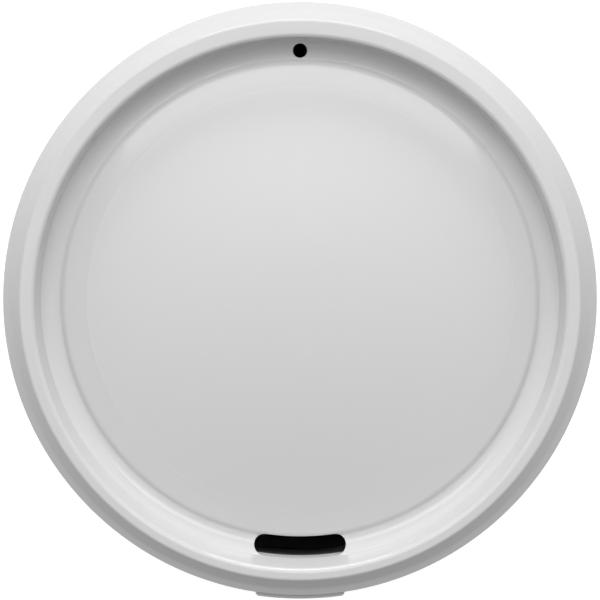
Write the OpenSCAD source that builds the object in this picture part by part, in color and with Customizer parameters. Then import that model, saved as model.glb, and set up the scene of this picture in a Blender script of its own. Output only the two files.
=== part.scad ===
// Travel tumbler: a tapered double-wall cup with a press-on sip lid and its seal.
// The origin is the centre of the base on the table, +Z is up and the drinker's side is -Y.

/* [Overall] */
// Height from the table to the top of the lid's rim
total_h = 154; // [130:1:200]

/* [Cup] */
// Outside diameter of the cup at its mouth
mouth_d = 88.4; // [88:0.2:96]
// Outside diameter of the cup at its foot
foot_d = 62; // [50:1:74]
// Height of the straight neck below the lip
neck_h = 15; // [13:0.5:24]
// Radius that turns the straight neck into the taper
neck_r = 60; // [20:5:90]
// Wall thickness of the outer shell
shell_t = 1.6; // [1.2:0.1:1.8]
// Wall thickness of the inner liner
liner_t = 1.2; // [0.9:0.1:1.4]
// Thickness of the liner's lip, which covers the top of the shell
lip_t = 2.4; // [1.6:0.1:3.4]
// Radius on the two edges of the lip
lip_r = 0.8; // [0.2:0.1:0.8]
// Radius inside the bottom of the liner
liner_floor_r = 5; // [3:0.5:14]
// Thickness of the liner's floor
liner_floor_t = 1.8; // [1:0.1:3]
// Air gap between the liner and the shell at the foot
foot_gap = 3; // [1.5:0.25:6]
// Air gap between the liner's floor and the base plug
floor_gap = 2.2; // [1:0.1:5]
// Radius on the outer edge of the foot
foot_r = 0.8; // [0.3:0.1:0.8]

/* [Base plug] */
// Depth of the recess under the base
recess_h = 2.5; // [1:0.25:6]
// Thickness of the base plug's floor
plug_t = 1.8; // [1.2:0.1:3]
// Height of the base plug's welded skirt
plug_skirt_h = 6; // [4:0.5:12]
// Thickness of the base plug's skirt
plug_skirt_t = 1.6; // [1.2:0.1:2.4]

/* [Lid rim] */
// Width of the rim from its outer to its inner edge
rim_w = 2.25; // [1.8:0.05:2.6]
// Radius on the rim's outer edge
rim_out_r = 0.5; // [0.2:0.05:0.7]
// Radius on the rim's inner edge, against the lip
rim_in_r = 0.75; // [0.3:0.05:1]
// Draft of the wall inside the rim, degrees from upright
wall_draft = 8; // [4:0.5:12]
// Depth of the crease at the foot of that wall, below the rim
crease_h = 4.7; // [4:0.1:5.5]
// Radius in that crease
crease_r = 0.25; // [0.1:0.05:0.5]

/* [Lid flank] */
// How far the brim, the widest part of the lid, stands out past the cup
brim_over = 1.2; // [1:0.1:1.6]
// Width of the flank between the brim and the top of the rim
flank_w = 2.9; // [2.6:0.05:3]
// Depth of the brim below the rim
brim_h = 5.4; // [4.6:0.1:6]
// Slope of the flank where it leaves the rim, degrees
flank_top_a = 66; // [63:1:80]
// Slope of the flank where it reaches the brim, degrees
flank_low_a = 54; // [34:1:58]
// Radius of the hollow in the flank
flare_r = 7; // [2:0.5:10]
// Radius where the flank turns over the brim
brim_r = 0.6; // [0.2:0.05:0.8]
// Radius on the brim's lower edge
brim_low_r = 0.7; // [0.2:0.05:0.8]

/* [Lid floor] */
// Width of the groove between the disc and the wall inside the rim
band_w = 3.1; // [2.8:0.05:4.4]
// Depth of the groove round the disc, below the rim
groove_h = 5.7; // [5.5:0.1:6]
// Height of the disc's edge above the groove
disc_edge_h = 0.45; // [0.35:0.05:0.7]
// Slope of the disc's edge, degrees
disc_edge_a = 30; // [24:1:45]
// Radius on the disc's edge
disc_edge_r = 3; // [1:0.1:3]
// Slope of the groove's band beside the disc, degrees
band_low_a = 2; // [1:1:6]
// Slope of the groove's band below the wall, degrees
band_top_a = 33; // [28:1:40]
// Radius of the hollow in the groove's band
band_r = 5; // [1:0.1:5]
// Rise of the disc from its edge to its centre
disc_dome = 3; // [0.5:0.1:3.6]
// Thickness of the lid's floor
lid_t = 1.8; // [1.2:0.1:2]

/* [Lid seat and skirt] */
// Depth of the seat that rests on the cup's lip, below the rim
seat_h = 7.5; // [7:0.1:9]
// Width of the seat's ring that bears on the lip
seat_w = 0.8; // [0.5:0.05:1]
// Gap between the seat and the lip
seat_gap = 0.1; // [0:0.05:0.3]
// Thickness of the skirt that enters the mouth
skirt_t = 1.4; // [1.2:0.1:1.6]
// Depth of the skirt below the seat
skirt_h = 11; // [9:0.5:12.5]
// Gap between the skirt and the liner
skirt_gap = 0.3; // [0.2:0.05:0.5]
// Depth of the groove that holds the seal
seal_groove_t = 0.6; // [0.45:0.05:0.7]
// Height of the groove that holds the seal
seal_groove_h = 4; // [3:0.25:5]
// Distance from the seat down to the seal's groove
seal_drop = 4; // [2.5:0.25:4.5]
// Wall left above and beside the hollow under the rim
rim_wall_t = 1.3; // [1:0.05:1.4]
// Width of that hollow at its top
hollow_top_w = 0.5; // [0.45:0.05:0.6]

/* [Seal] */
// Gap between the seal and its groove
seal_fit = 0.05; // [0.03:0.01:0.1]
// Gap between the seal's lips and the liner
seal_gap = 0.06; // [0.03:0.01:0.15]
// Radius of each of the seal's two lips
seal_lip_r = 0.35; // [0.2:0.05:0.35]
// Distance from each end of the seal to its lip
seal_lip_inset = 0.3; // [0.1:0.05:0.5]

/* [Sip slot and vent] */
// Width of the sip slot
slot_w = 3.3; // [2:0.1:3.4]
// Distance from the wall's crease to the slot
slot_inset = 0.2; // [0.2:0.05:0.8]
// Half of the angle between the slot's end centres
slot_half_a = 8.1; // [4:0.1:14]
// Diameter of the air vent
vent_d = 2.1; // [1.2:0.1:2.2]
// Distance from the wall's crease to the vent's centre
vent_inset = 1.6; // [1.4:0.05:2.4]

/* [Thumb tab] */
// Width of the thumb tab at the front of the brim
tab_w = 13.6; // [8:0.2:20]
// How far the tab stands out from the brim
tab_out = 0.6; // [0.4:0.05:2]
// Gap between the tab and the cup
tab_gap = 0.3; // [0.2:0.05:0.5]
// Depth of the tab's top below the brim
tab_drop = 0.7; // [0.5:0.05:1]
// Height of the tab
tab_h = 4; // [2:0.25:6]
// Chamfer on the tab's ends
tab_chamfer = 0.45; // [0.2:0.05:1]

/* [Hidden] */
$fn = 120;
arc_step = 8;
edge_r = 0.3;
groove_r = 0.2;
dome_steps = 6;
slot_steps = 8;
slot_end_steps = 12;

// Heights
lip_z = total_h - seat_h - seat_gap;
seat_z = total_h - seat_h;
shell_top_z = lip_z - lip_t;
neck_z = lip_z - neck_h;
plug_z = recess_h;
liner_floor_z = plug_z + plug_t + floor_gap;

// Cup radii
mouth_r = mouth_d / 2;
foot_out_r = foot_d / 2;
shell_fit = 0.05;
liner_out_r = mouth_r - shell_t - shell_fit;
liner_in_r = liner_out_r - liner_t;
liner_foot_r = foot_out_r - shell_t - foot_gap;

// Lid radii
brim_out_r = mouth_r + brim_over;
rim_r = brim_out_r - flank_w;
wall_top_r = rim_r - rim_w;
crease_ring_r = wall_top_r - crease_h * tan(wall_draft);
disc_ring_r = crease_ring_r - band_w;
slot_r = crease_ring_r - slot_inset - slot_w / 2;
vent_r = crease_ring_r - vent_inset;
skirt_out_r = liner_in_r - skirt_gap;
skirt_in_r = skirt_out_r - skirt_t;

// Point where a line from p at angle a meets a line from q at angle b
function crossing(p, a, q, b) =
    let (t = ((q.x - p.x) * sin(b) - (q.y - p.y) * cos(b)) / sin(b - a))
    [p.x + t * cos(a), p.y + t * sin(a)];

function unit(v) = v / norm(v);

// Points of the arc of radius r that rounds the corner between two neighbours
function corner_arc(before, corner, after, r) =
    let (
        u = unit(before - corner),
        v = unit(after - corner),
        half = acos(u * v) / 2,
        centre = corner + unit(u + v) * r / sin(half),
        from = corner + u * r / tan(half) - centre,
        side = cross(u, v) > 0 ? -1 : 1,
        steps = ceil((180 - 2 * half) / arc_step)
    )
    [
        for (i = [0:steps])
            let (a = side * (180 - 2 * half) * i / steps)
            centre + [from.x * cos(a) - from.y * sin(a), from.x * sin(a) + from.y * cos(a)]
    ];

// Points of a closed outline of corners [x, y, radius]
function rounded(corners) =
    let (n = len(corners))
    [
        for (i = [0:n - 1])
            let (
                p = [corners[i].x, corners[i].y],
                before = corners[(i + n - 1) % n],
                after = corners[(i + 1) % n]
            )
            each corners[i][2] == 0
                ? [p]
                : corner_arc([before.x, before.y], p, [after.x, after.y], corners[i][2])
    ];

module rounded_outline(corners) {
    polygon(rounded(corners));
}

// Outer shell: straight neck, tapered wall, rounded foot
module outer_shell() {
    color("white")
        rotate_extrude()
            rounded_outline([
                [foot_out_r - shell_t, 0, edge_r],
                [foot_out_r, 0, foot_r],
                [mouth_r, neck_z, neck_r],
                [mouth_r, shell_top_z, 0],
                [mouth_r - shell_t, shell_top_z, 0],
                [mouth_r - shell_t, neck_z, neck_r - shell_t]
            ]);
}

// Inner liner: the cup that holds the drink, with a lip that covers the shell
module inner_liner() {
    color("whitesmoke")
        rotate_extrude()
            rounded_outline([
                [0, liner_floor_z, 0],
                [liner_foot_r, liner_floor_z, liner_floor_r + liner_t],
                [liner_out_r, neck_z, neck_r],
                [liner_out_r, shell_top_z, 0],
                [mouth_r, shell_top_z, 0],
                [mouth_r, lip_z, lip_r],
                [liner_in_r, lip_z, lip_r],
                [liner_in_r, neck_z, neck_r - liner_t],
                [liner_foot_r - liner_t, liner_floor_z + liner_floor_t, liner_floor_r],
                [0, liner_floor_z + liner_floor_t, 0]
            ]);
}

// Radius inside the shell at height z, along its taper
function shell_in_r(z) =
    foot_out_r - shell_t + (mouth_r - foot_out_r) * z / neck_z;

// Base plug: a shallow cap welded inside the foot
module base_plug() {
    low_r = shell_in_r(plug_z) - shell_fit;
    top_r = shell_in_r(plug_z + plug_skirt_h) - shell_fit;
    color("whitesmoke")
        rotate_extrude()
            rounded_outline([
                [0, plug_z, 0],
                [low_r, plug_z, 0],
                [top_r, plug_z + plug_skirt_h, 0],
                [top_r - plug_skirt_t, plug_z + plug_skirt_h, 0],
                [low_r - plug_skirt_t, plug_z + plug_t, edge_r],
                [0, plug_z + plug_t, 0]
            ]);
}

// Points from the disc's flat middle out to its edge at edge, raised by a parabola
function dome_points(edge) =
    [
        for (i = [0:dome_steps - 1])
            let (rise = disc_dome * (1 - pow(max(i, 1) / dome_steps, 2)))
            [edge.x * i / dome_steps, edge.y + rise]
    ];

// Section of the lid, measured down from the top of the rim
module lid_section() {
    groove_p = [disc_ring_r, -groove_h];
    disc_p = groove_p + [-disc_edge_h / tan(disc_edge_a), disc_edge_h];
    crease_p = [crease_ring_r, -crease_h];
    band_p = crossing(groove_p, band_low_a, crease_p, band_top_a);
    rim_p = [rim_r, 0];
    brim_p = [brim_out_r, -brim_h];
    flare_p = crossing(rim_p, -flank_top_a, brim_p, -flank_low_a);
    dome = dome_points(disc_p);
    under = dome_points([disc_p.x, disc_p.y - lid_t]);
    skirt_z = -seat_h - skirt_h;
    groove_top = -seat_h - seal_drop;
    groove_low = groove_top - seal_groove_h;
    hollow_top = -rim_out_r - rim_wall_t;
    hollow_in_r = wall_top_r + rim_wall_t;
    hollow_low_r = mouth_r - lip_r - seat_w;
    rounded_outline([
        for (p = under) [p.x, p.y, 0],
        [disc_p.x, disc_p.y - lid_t, 0],
        [skirt_in_r, disc_p.y - lid_t, edge_r],
        [skirt_in_r, skirt_z, edge_r],
        [skirt_out_r, skirt_z, 2 * edge_r],
        [skirt_out_r, groove_low, 0],
        [skirt_out_r - seal_groove_t, groove_low, 0],
        [skirt_out_r - seal_groove_t, groove_top, 0],
        [skirt_out_r, groove_top, 0],
        [skirt_out_r, -seat_h, 0],
        [hollow_in_r, -seat_h, 0],
        [hollow_in_r, hollow_top, groove_r],
        [hollow_in_r + hollow_top_w, hollow_top, groove_r],
        [hollow_low_r, -seat_h, 0],
        [brim_out_r, -seat_h, brim_low_r],
        [brim_p.x, brim_p.y, brim_r],
        [flare_p.x, flare_p.y, flare_r],
        [rim_p.x, rim_p.y, rim_out_r],
        [wall_top_r, 0, rim_in_r],
        [crease_p.x, crease_p.y, crease_r],
        [band_p.x, band_p.y, band_r],
        [groove_p.x, groove_p.y, groove_r],
        [disc_p.x, disc_p.y, disc_edge_r],
        for (i = [1:dome_steps]) [dome[dome_steps - i].x, dome[dome_steps - i].y, 0]
    ]);
}

// Points round a centre from angle a to angle b, counted from -Y towards +X, less skip at each end
function arc_points(centre, r, a, b, steps, skip) =
    [
        for (i = [skip:steps - skip])
            let (turn = a + (b - a) * i / steps)
            centre + r * [sin(turn), -cos(turn)]
    ];

// Plan of the sip slot: an arc with round ends
module slot_plan() {
    right = slot_r * [sin(slot_half_a), -cos(slot_half_a)];
    left = [-right.x, right.y];
    polygon(concat(
        arc_points([0, 0], slot_r + slot_w / 2, -slot_half_a, slot_half_a, slot_steps, 0),
        arc_points(right, slot_w / 2, slot_half_a, slot_half_a + 180, slot_end_steps, 1),
        arc_points([0, 0], slot_r - slot_w / 2, slot_half_a, -slot_half_a, slot_steps, 0),
        arc_points(left, slot_w / 2, 180 - slot_half_a, 360 - slot_half_a, slot_end_steps, 1)
    ));
}

// Plan of the thumb tab: a band outside the cup with chamfered ends
module tab_plan() {
    out_r = brim_out_r + tab_out;
    end_y = -sqrt(pow(out_r, 2) - pow(tab_w / 2, 2));
    intersection() {
        difference() {
            circle(r = out_r);
            circle(r = mouth_r + tab_gap);
        }
        polygon([
            [-tab_w / 2, -mouth_r / 2],
            [-tab_w / 2, end_y + tab_chamfer],
            [-tab_w / 2 + tab_chamfer, end_y - tab_chamfer],
            [-tab_w / 2 + tab_chamfer, -out_r - 1],
            [tab_w / 2 - tab_chamfer, -out_r - 1],
            [tab_w / 2 - tab_chamfer, end_y - tab_chamfer],
            [tab_w / 2, end_y + tab_chamfer],
            [tab_w / 2, -mouth_r / 2]
        ]);
    }
}

// Lid: turned section with the slot and the vent through its groove, and the tab
module lid() {
    tab_top = total_h - brim_h - tab_drop;
    color("white")
        difference() {
            union() {
                translate([0, 0, total_h])
                    rotate_extrude()
                        lid_section();
                translate([0, 0, tab_top - tab_h])
                    linear_extrude(tab_h)
                        tab_plan();
            }
            translate([0, 0, seat_z - lid_t])
                linear_extrude(seat_h)
                    slot_plan();
            translate([0, vent_r, seat_z - lid_t])
                cylinder(h = seat_h, d = vent_d);
        }
}

// Seal: a soft ring in the skirt's groove, with two lips against the liner
module lid_seal() {
    in_r = skirt_out_r - seal_groove_t + seal_fit;
    out_r = liner_in_r - seal_gap;
    low_z = seat_z - seal_drop - seal_groove_h + seal_fit;
    top_z = seat_z - seal_drop - seal_fit;
    band_r = out_r - seal_lip_r;
    color("gainsboro")
        rotate_extrude() {
            translate([in_r, low_z])
                square([band_r - in_r, top_z - low_z]);
            for (z = [low_z + seal_lip_r + seal_lip_inset, top_z - seal_lip_r - seal_lip_inset])
                translate([band_r, z])
                    circle(r = seal_lip_r);
        }
}

outer_shell();
inner_liner();
base_plug();
lid();
lid_seal();
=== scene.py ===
import math

import bmesh
import bpy
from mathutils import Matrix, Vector


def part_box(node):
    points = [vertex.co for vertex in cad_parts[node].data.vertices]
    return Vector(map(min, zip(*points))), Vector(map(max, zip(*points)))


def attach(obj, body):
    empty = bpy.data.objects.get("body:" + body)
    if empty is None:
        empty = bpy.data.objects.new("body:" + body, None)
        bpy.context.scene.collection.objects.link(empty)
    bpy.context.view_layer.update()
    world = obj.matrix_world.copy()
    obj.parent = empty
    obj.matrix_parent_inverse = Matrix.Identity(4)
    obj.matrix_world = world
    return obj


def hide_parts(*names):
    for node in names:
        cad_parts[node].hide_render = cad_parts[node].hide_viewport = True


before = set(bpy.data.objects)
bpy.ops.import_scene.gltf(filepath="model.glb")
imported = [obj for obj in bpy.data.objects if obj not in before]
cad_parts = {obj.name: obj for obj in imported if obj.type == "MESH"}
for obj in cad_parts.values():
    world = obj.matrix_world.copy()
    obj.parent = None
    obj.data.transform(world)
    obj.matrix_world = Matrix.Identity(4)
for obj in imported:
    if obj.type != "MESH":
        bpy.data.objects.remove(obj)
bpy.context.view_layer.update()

MM = 0.001

# Lid section, in millimetres and degrees, with heights measured down from the top of the rim
BRIM_OVER = 1.2
RIM_W = 2.1
RIM_OUT_R = 0.5
RIM_IN_R = 0.75
WALL_DRAFT = 9.8
CREASE_H = 4.7
CREASE_R = 0.3
FLANK_W = 2.9
BRIM_H = 5.4
FLANK_TOP_A = 57
FLANK_LOW_A = 66
FLARE_R = 7
BRIM_R = 0.6
BRIM_LOW_R = 0.7
BAND_W = 2.9
GROOVE_H = 5.7
HOLLOW_R = 0.2
DISC_EDGE_H = 0.5
DISC_EDGE_A = 42
DISC_EDGE_R = 1.5
DISC_FOOT_R = 0.6
DISC_DOME = 3.4
BAND_LOW_A = 2
BAND_TOP_A = 33
BAND_R = 4.2
LID_T = 1.8
SEAT_H = 7.5
SEAT_W = 0.8
LIP_R = 0.8
SKIRT_H = 11
SKIRT_T = 1.4
EDGE_R = 0.3
SEAL_GROOVE_T = 0.6
SEAL_GROOVE_H = 4
SEAL_DROP = 4
RIM_WALL_T = 1.3
HOLLOW_TOP_W = 0.5
SEAL_ROOM = 0.24

# How far the wall's upper edge leans towards the drinker's side
LEAN = 0.46

# Sip slot, vent and thumb tab
SLOT_W = 3.2
SLOT_INSET = 0
SLOT_FLARE = 0.5
SLOT_HALF_A = 8.1
VENT_D = 2.2
VENT_INSET = 1.6
TAB_W = 13.6
TAB_GAP = 0.3
TAB_DROP = 0.7
TAB_H = 4
TAB_CHAMFER = 0.3

# Fineness of the lid's mesh
ARC_STEP = 3
TURN_STEPS = 360
DOME_STEPS = 24
SHARP_A = 28
SLOT_STEPS = 24
VENT_STEPS = 48
TAB_STEPS = 24

# Sizes read from the frame
lid_low, lid_high = (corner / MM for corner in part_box("lid"))
seal_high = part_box("lid_seal")[1] / MM
top_z = lid_high.z
brim_r = lid_high.x
tab_r = -lid_low.y
mouth_r = brim_r - BRIM_OVER
skirt_r = seal_high.x - SEAL_ROOM
rim_r = brim_r - FLANK_W
wall_r = rim_r - RIM_W
crease_r = wall_r - CREASE_H * math.tan(math.radians(WALL_DRAFT))
disc_r = crease_r - BAND_W


def crossing(p, a, q, b):
    """Point where the line from p at angle a meets the line from q at angle b."""
    a = math.radians(a)
    b = math.radians(b)
    t = ((q[0] - p[0]) * math.sin(b) - (q[1] - p[1]) * math.cos(b)) / math.sin(b - a)
    return Vector((p[0] + t * math.cos(a), p[1] + t * math.sin(a)))


def rounded(corners):
    """Points of a closed outline of corners (x, y, radius)."""
    points = []
    for i, (x, y, radius) in enumerate(corners):
        corner = Vector((x, y))
        if radius == 0:
            points.append(corner)
            continue
        before = (Vector(corners[i - 1][:2]) - corner).normalized()
        after = (Vector(corners[(i + 1) % len(corners)][:2]) - corner).normalized()
        half = math.acos(before.dot(after)) / 2
        centre = corner + (before + after).normalized() * radius / math.sin(half)
        start = corner + before * radius / math.tan(half) - centre
        side = -1 if before.cross(after) > 0 else 1
        turn = math.pi - 2 * half
        steps = math.ceil(math.degrees(turn) / ARC_STEP)
        for k in range(steps + 1):
            a = side * turn * k / steps
            x_part = start.x * math.cos(a) - start.y * math.sin(a)
            y_part = start.x * math.sin(a) + start.y * math.cos(a)
            points.append(centre + Vector((x_part, y_part)))
    return points


def dome(edge):
    """Points of a parabola from the axis out to the disc's edge."""
    steps = [k / DOME_STEPS for k in range(DOME_STEPS)]
    return [(edge[0] * s, edge[1] + DISC_DOME * (1 - s * s), 0) for s in steps]


def lid_section():
    """Closed outline of the lid as (radius, height) from the disc's underside round to its top."""
    groove = (disc_r, -GROOVE_H)
    edge = (disc_r - DISC_EDGE_H / math.tan(math.radians(DISC_EDGE_A)), DISC_EDGE_H - GROOVE_H)
    band = crossing(groove, BAND_LOW_A, (crease_r, -CREASE_H), BAND_TOP_A)
    flare = crossing((rim_r, 0), -FLANK_TOP_A, (brim_r, -BRIM_H), -FLANK_LOW_A)
    skirt_in = skirt_r - SKIRT_T
    floor_z = edge[1] - LID_T
    groove_top = -SEAT_H - SEAL_DROP
    groove_low = groove_top - SEAL_GROOVE_H
    hollow_r = wall_r + RIM_WALL_T
    hollow_z = -RIM_OUT_R - RIM_WALL_T
    return rounded(
        dome((edge[0], floor_z))
        + [
            (edge[0], floor_z, 0),
            (skirt_in, floor_z, EDGE_R),
            (skirt_in, -SEAT_H - SKIRT_H, EDGE_R),
            (skirt_r, -SEAT_H - SKIRT_H, 2 * EDGE_R),
            (skirt_r, groove_low, 0),
            (skirt_r - SEAL_GROOVE_T, groove_low, 0),
            (skirt_r - SEAL_GROOVE_T, groove_top, 0),
            (skirt_r, groove_top, 0),
            (skirt_r, -SEAT_H, 0),
            (hollow_r, -SEAT_H, 0),
            (hollow_r, hollow_z, HOLLOW_R),
            (hollow_r + HOLLOW_TOP_W, hollow_z, HOLLOW_R),
            (mouth_r - LIP_R - SEAT_W, -SEAT_H, 0),
            (brim_r, -SEAT_H, BRIM_LOW_R),
            (brim_r, -BRIM_H, BRIM_R),
            (flare.x, flare.y, FLARE_R),
            (rim_r, 0, RIM_OUT_R),
            (wall_r, 0, RIM_IN_R),
            (crease_r, -CREASE_H, CREASE_R),
            (band.x, band.y, BAND_R),
            (groove[0], groove[1], DISC_FOOT_R),
            (edge[0], edge[1], DISC_EDGE_R),
        ]
        + dome(edge)[::-1]
    )


def lean(point):
    """Sideways shift of the rim's inner wall and top, none at the crease and at the rim's outer edge."""
    rim_flat_r = rim_r - RIM_OUT_R
    if not crease_r < point.x < rim_flat_r or point.y < -CREASE_H:
        return 0
    up = 1 + point.y / CREASE_H
    inner_r = wall_r + RIM_IN_R
    along = min(1, (rim_flat_r - point.x) / (rim_flat_r - inner_r))
    return -LEAN * up * along


def new_object(name, mesh_builder):
    mesh = bpy.data.meshes.new(name)
    bmesh.ops.recalc_face_normals(mesh_builder, faces=mesh_builder.faces)
    mesh_builder.to_mesh(mesh)
    mesh_builder.free()
    piece = bpy.data.objects.new(name, mesh)
    bpy.context.scene.collection.objects.link(piece)
    return piece


def turned(name, section):
    """Solid of revolution of a section that starts and ends on the axis."""
    build = bmesh.new()
    rings = []
    for point in section:
        z = (top_z + point.y) * MM
        if point.x == 0:
            rings.append([build.verts.new((0, 0, z))])
            continue
        ring = []
        for k in range(TURN_STEPS):
            a = 2 * math.pi * k / TURN_STEPS
            x = point.x * math.sin(a)
            y = lean(point) - point.x * math.cos(a)
            ring.append(build.verts.new((x * MM, y * MM, z)))
        rings.append(ring)
    for low, high in zip(rings, rings[1:]):
        for k in range(TURN_STEPS):
            n = (k + 1) % TURN_STEPS
            if len(low) == 1:
                build.faces.new((low[0], high[n], high[k]))
            elif len(high) == 1:
                build.faces.new((low[k], low[n], high[0]))
            else:
                build.faces.new((low[k], low[n], high[n], high[k]))
    return new_object(name, build)


def prism(name, levels):
    """Upright solid through plans of as many points each, given from low to high as (height, plan)."""
    build = bmesh.new()
    rings = [[build.verts.new((x * MM, y * MM, z * MM)) for x, y in plan] for z, plan in levels]
    build.faces.new(rings[0][::-1])
    build.faces.new(rings[-1])
    for low, high in zip(rings, rings[1:]):
        for i, corner in enumerate(low):
            n = (i + 1) % len(low)
            build.faces.new((corner, low[n], high[n], high[i]))
    return new_object(name, build)


def arc(centre, radius, start, end, steps):
    """Points round a centre from angle start to end, in degrees from -Y towards +X."""
    angles = [math.radians(start + (end - start) * k / steps) for k in range(steps + 1)]
    return [(centre[0] + radius * math.sin(a), centre[1] - radius * math.cos(a)) for a in angles]


def slot_plan(flare):
    """Arc with round ends, widened by the flare on every side."""
    ring = crease_r - SLOT_INSET - SLOT_W / 2
    half = SLOT_W / 2 + flare
    ends = arc((0, 0), ring, -SLOT_HALF_A, SLOT_HALF_A, 1)
    outer = arc((0, 0), ring + half, -SLOT_HALF_A, SLOT_HALF_A, SLOT_STEPS)
    right = arc(ends[1], half, SLOT_HALF_A, SLOT_HALF_A + 180, SLOT_STEPS)
    inner = arc((0, 0), ring - half, SLOT_HALF_A, -SLOT_HALF_A, SLOT_STEPS)
    left = arc(ends[0], half, 180 - SLOT_HALF_A, 360 - SLOT_HALF_A, SLOT_STEPS)
    return outer + right[1:-1] + inner + left[1:-1]


def tab_plan():
    """Band outside the cup with chamfered ends."""
    half = TAB_W / 2
    end_a = math.degrees(math.asin((half - TAB_CHAMFER) / tab_r))
    inner_r = mouth_r + TAB_GAP
    inner_a = math.degrees(math.asin(half / inner_r))
    end_y = -math.sqrt(tab_r**2 - half**2) + TAB_CHAMFER
    front = arc((0, 0), tab_r, -end_a, end_a, TAB_STEPS)
    back = arc((0, 0), inner_r, inner_a, -inner_a, TAB_STEPS)
    return [(-half, end_y)] + front + [(half, end_y)] + back


def boolean(piece, tool, operation):
    modifier = piece.modifiers.new(tool.name, "BOOLEAN")
    modifier.object = tool
    modifier.operation = operation
    modifier.solver = "EXACT"


def settle(piece, tools):
    """Apply the booleans, drop their tools and shade smooth with sharp edges kept."""
    bpy.context.view_layer.update()
    result = bpy.data.meshes.new_from_object(piece.evaluated_get(bpy.context.evaluated_depsgraph_get()))
    piece.modifiers.clear()
    piece.data = result
    for tool in tools:
        bpy.data.objects.remove(tool)
    smooth(piece)


def smooth(piece):
    build = bmesh.new()
    build.from_mesh(piece.data)
    for face in build.faces:
        face.smooth = True
    for edge in build.edges:
        edge.smooth = len(edge.link_faces) == 2 and edge.calc_face_angle(0) < math.radians(SHARP_A)
    build.to_mesh(piece.data)
    build.free()


def make_lid():
    lid = turned("sip_lid", lid_section())
    low_z = top_z - SEAT_H - LID_T
    high_z = top_z + 1
    slot_top = [(top_z - CREASE_H, slot_plan(0)), (high_z, slot_plan(0))]
    slot = prism("slot_cutter", [(low_z, slot_plan(SLOT_FLARE))] + slot_top)
    vent_y = crease_r - VENT_INSET
    vent_plan = arc((0, vent_y), VENT_D / 2, 0, 360, VENT_STEPS)[:-1]
    vent = prism("vent_cutter", [(low_z, vent_plan), (high_z, vent_plan)])
    tab_top = top_z - BRIM_H - TAB_DROP
    tab = prism("tab", [(tab_top - TAB_H, tab_plan()), (tab_top, tab_plan())])
    boolean(lid, slot, "DIFFERENCE")
    boolean(lid, vent, "DIFFERENCE")
    boolean(lid, tab, "UNION")
    settle(lid, [slot, vent, tab])
    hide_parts("lid")
    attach(lid, "lid_unit")
    return lid


# Materials
MOTTLE_SCALE = 60
GLOSS_SPREAD = 0.15
DISC_ROUGHNESS = 0.36
DISC_FADE = 6


def plastic(name, colour, roughness, mottle, grain_mm, grain_depth_mm):
    """Moulded plastic: faint mottle in its colour and gloss, and a fine grain in its surface."""
    material = bpy.data.materials.new(name)
    material.use_nodes = True
    nodes = material.node_tree.nodes
    links = material.node_tree.links
    shader = nodes["Principled BSDF"]
    shader.inputs["IOR"].default_value = 1.5
    place = nodes.new("ShaderNodeTexCoord")

    cloud = nodes.new("ShaderNodeTexNoise")
    cloud.inputs["Scale"].default_value = MOTTLE_SCALE
    cloud.inputs["Detail"].default_value = 4
    links.new(place.outputs["Object"], cloud.inputs["Vector"])

    tint = nodes.new("ShaderNodeMapRange")
    tint.inputs["To Min"].default_value = 1 - mottle
    tint.inputs["To Max"].default_value = 1 + mottle
    links.new(cloud.outputs["Fac"], tint.inputs["Value"])
    shade = nodes.new("ShaderNodeVectorMath")
    shade.operation = "SCALE"
    shade.inputs[0].default_value = colour
    links.new(tint.outputs["Result"], shade.inputs["Scale"])
    links.new(shade.outputs["Vector"], shader.inputs["Base Color"])

    gloss = nodes.new("ShaderNodeMapRange")
    gloss.inputs["To Min"].default_value = roughness * (1 - GLOSS_SPREAD)
    gloss.inputs["To Max"].default_value = roughness * (1 + GLOSS_SPREAD)
    links.new(cloud.outputs["Fac"], gloss.inputs["Value"])
    links.new(gloss.outputs["Result"], shader.inputs["Roughness"])

    grain = nodes.new("ShaderNodeTexNoise")
    grain.inputs["Scale"].default_value = 1 / (grain_mm * MM)
    grain.inputs["Detail"].default_value = 3
    links.new(place.outputs["Object"], grain.inputs["Vector"])
    bump = nodes.new("ShaderNodeBump")
    bump.inputs["Strength"].default_value = 1
    bump.inputs["Distance"].default_value = grain_depth_mm * MM
    links.new(grain.outputs["Fac"], bump.inputs["Height"])
    links.new(bump.outputs["Normal"], shader.inputs["Normal"])
    return material


def soften_disc(material):
    """Make the gloss softer on the disc than on the rim and the band."""
    nodes = material.node_tree.nodes
    links = material.node_tree.links
    rough = nodes["Principled BSDF"].inputs["Roughness"]
    place = nodes.new("ShaderNodeTexCoord")
    flat = nodes.new("ShaderNodeVectorMath")
    flat.operation = "MULTIPLY"
    flat.inputs[1].default_value = (1, 1, 0)
    links.new(place.outputs["Object"], flat.inputs[0])
    reach = nodes.new("ShaderNodeVectorMath")
    reach.operation = "LENGTH"
    links.new(flat.outputs["Vector"], reach.inputs[0])
    fade = nodes.new("ShaderNodeMapRange")
    fade.interpolation_type = "SMOOTHSTEP"
    fade.inputs["From Min"].default_value = (disc_r - DISC_FADE) * MM
    fade.inputs["From Max"].default_value = disc_r * MM
    fade.inputs["To Min"].default_value = DISC_ROUGHNESS
    fade.inputs["To Max"].default_value = 0
    links.new(reach.outputs["Value"], fade.inputs["Value"])
    most = nodes.new("ShaderNodeMath")
    most.operation = "MAXIMUM"
    links.new(rough.links[0].from_socket, most.inputs[0])
    links.new(fade.outputs["Result"], most.inputs[1])
    links.new(most.outputs["Value"], rough)


def paint(piece, material):
    piece.data.materials.clear()
    piece.data.materials.append(material)


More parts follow.
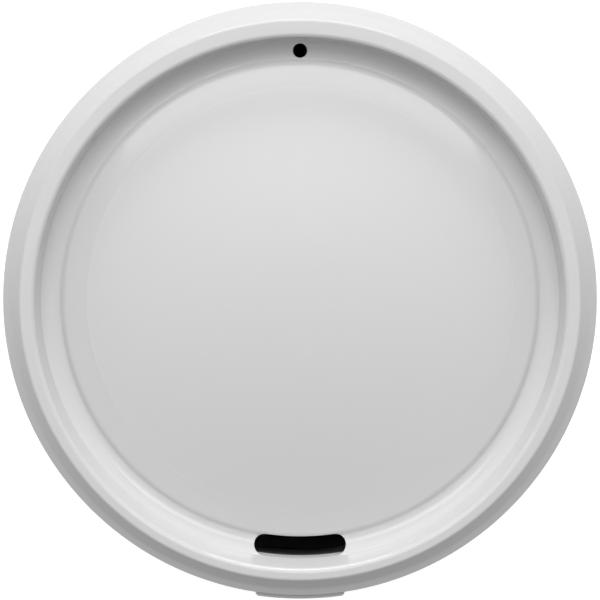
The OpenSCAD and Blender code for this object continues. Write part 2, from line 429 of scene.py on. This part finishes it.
# Light and backdrop
AMBIENT = 0.2
LAMPS = [
    # name, height angle, turn from the back, distance, width, height in metres, watts, seen in gloss
    ("low_back", 12, 0, 0.8, 0.6, 0.2, 3.3, True),
    ("key", 50, 0, 0.8, 0.6, 0.2, 1.95, False),
    ("key_upper", 60, 0, 0.8, 0.6, 0.2, 1.66, False),
    ("overhead", 71, 0, 0.8, 0.6, 0.2, 0.93, True),
    ("top", 84, 0, 0.8, 0.6, 0.2, 0.15, True),
    ("low_right", 20, 90, 0.8, 0.4, 0.3, 0.76, False),
    ("low_left", 20, -90, 0.8, 0.4, 0.3, 0.76, False),
    ("right", 45, 90, 0.8, 0.4, 0.3, 0.45, False),
    ("left", 45, -90, 0.8, 0.4, 0.3, 0.45, False),
]
FLOOR_HALF = 3
FLOOR_DROP = 0.0002
FLOOR_ALBEDO = 0.3
FLOOR_GLOW = 0.88


def seen_directly(nodes, links):
    """1 for rays that show the backdrop, in view or in a gloss, and 0 for rays that light the object."""
    ray = nodes.new("ShaderNodeLightPath")
    most = nodes.new("ShaderNodeMath")
    most.operation = "MAXIMUM"
    links.new(ray.outputs["Is Camera Ray"], most.inputs[0])
    links.new(ray.outputs["Is Glossy Ray"], most.inputs[1])
    every = nodes.new("ShaderNodeMath")
    every.operation = "MAXIMUM"
    links.new(most.outputs[0], every.inputs[0])
    links.new(ray.outputs["Is Transmission Ray"], every.inputs[1])
    return every.outputs[0]


def make_world():
    world = bpy.data.worlds.new("studio")
    bpy.context.scene.world = world
    world.use_nodes = True
    nodes = world.node_tree.nodes
    links = world.node_tree.links
    glow = nodes["Background"]
    glow.inputs["Color"].default_value = (1, 1, 1, 1)
    glow.inputs["Strength"].default_value = AMBIENT
    white = nodes.new("ShaderNodeBackground")
    white.inputs["Color"].default_value = (1, 1, 1, 1)
    white.inputs["Strength"].default_value = 1
    mix = nodes.new("ShaderNodeMixShader")
    links.new(seen_directly(nodes, links), mix.inputs["Fac"])
    links.new(glow.outputs["Background"], mix.inputs[1])
    links.new(white.outputs["Background"], mix.inputs[2])
    links.new(mix.outputs["Shader"], nodes["World Output"].inputs["Surface"])


def make_lamp(name, height_a, turn, distance, width, height, watts, in_gloss):
    lamp = bpy.data.lights.new(name, "AREA")
    lamp.shape = "RECTANGLE"
    lamp.size = width
    lamp.size_y = height
    lamp.energy = watts
    holder = bpy.data.objects.new(name, lamp)
    bpy.context.scene.collection.objects.link(holder)
    up = math.radians(height_a)
    round_ = math.radians(turn)
    way = Vector((math.cos(up) * math.sin(round_), math.cos(up) * math.cos(round_), math.sin(up)))
    holder.location = Vector((0, 0, top_z * MM)) + distance * way
    holder.visible_glossy = in_gloss
    holder.rotation_euler = (-way).to_track_quat("-Z", "Y").to_euler()


def make_floor():
    build = bmesh.new()
    signs = [(-1, -1), (1, -1), (1, 1), (-1, 1)]
    corners = [(x * FLOOR_HALF, y * FLOOR_HALF) for x, y in signs]
    build.faces.new([build.verts.new((x, y, -FLOOR_DROP)) for x, y in corners])
    floor = new_object("floor", build)
    material = bpy.data.materials.new("floor_white")
    material.use_nodes = True
    nodes = material.node_tree.nodes
    links = material.node_tree.links
    nodes.clear()
    matte = nodes.new("ShaderNodeBsdfDiffuse")
    matte.inputs["Color"].default_value = (FLOOR_ALBEDO, FLOOR_ALBEDO, FLOOR_ALBEDO, 1)
    glow = nodes.new("ShaderNodeEmission")
    glow.inputs["Color"].default_value = (FLOOR_GLOW, FLOOR_GLOW, FLOOR_GLOW, 1)
    links.new(seen_directly(nodes, links), glow.inputs["Strength"])
    both = nodes.new("ShaderNodeAddShader")
    links.new(matte.outputs["BSDF"], both.inputs[0])
    links.new(glow.outputs["Emission"], both.inputs[1])
    output = nodes.new("ShaderNodeOutputMaterial")
    links.new(both.outputs["Shader"], output.inputs["Surface"])
    floor.data.materials.append(material)


# Camera: it looks down at the lid from a little behind its centre
CAMERA_H = 600
CAMERA_BACK = 24
AIM_BACK = 0.13
FIELD_W = 600 / 6.6
SENSOR_W = 36


def make_camera():
    data = bpy.data.cameras.new("camera")
    camera = bpy.data.objects.new("camera", data)
    bpy.context.scene.collection.objects.link(camera)
    camera.location = Vector((0, CAMERA_BACK, top_z + CAMERA_H)) * MM
    tilt = math.atan2(CAMERA_BACK - AIM_BACK, CAMERA_H)
    camera.rotation_euler = (-tilt, 0, 0)
    data.sensor_width = SENSOR_W
    data.lens = SENSOR_W * math.hypot(CAMERA_H, CAMERA_BACK - AIM_BACK) / FIELD_W
    bpy.context.scene.camera = camera


make_camera()
make_world()
for lamp_row in LAMPS:
    make_lamp(*lamp_row)
make_floor()

lid = make_lid()
white = plastic("lid_plastic", (0.6, 0.6, 0.6), 0.04, 0.004, 0.35, 0.0003)
soften_disc(white)
shell_white = plastic("shell_plastic", (0.6, 0.6, 0.6), 0.15, 0.006, 0.35, 0.0008)
liner_white = plastic("liner_plastic", (0.58, 0.58, 0.57), 0.32, 0.006, 0.3, 0.001)
silicone = plastic("seal_silicone", (0.62, 0.62, 0.62), 0.55, 0.01, 0.2, 0.002)
paint(lid, white)
paint(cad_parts["outer_shell"], shell_white)
paint(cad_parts["base_plug"], shell_white)
paint(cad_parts["inner_liner"], liner_white)
paint(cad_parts["lid_seal"], silicone)

bpy.context.scene.view_settings.view_transform = "Standard"
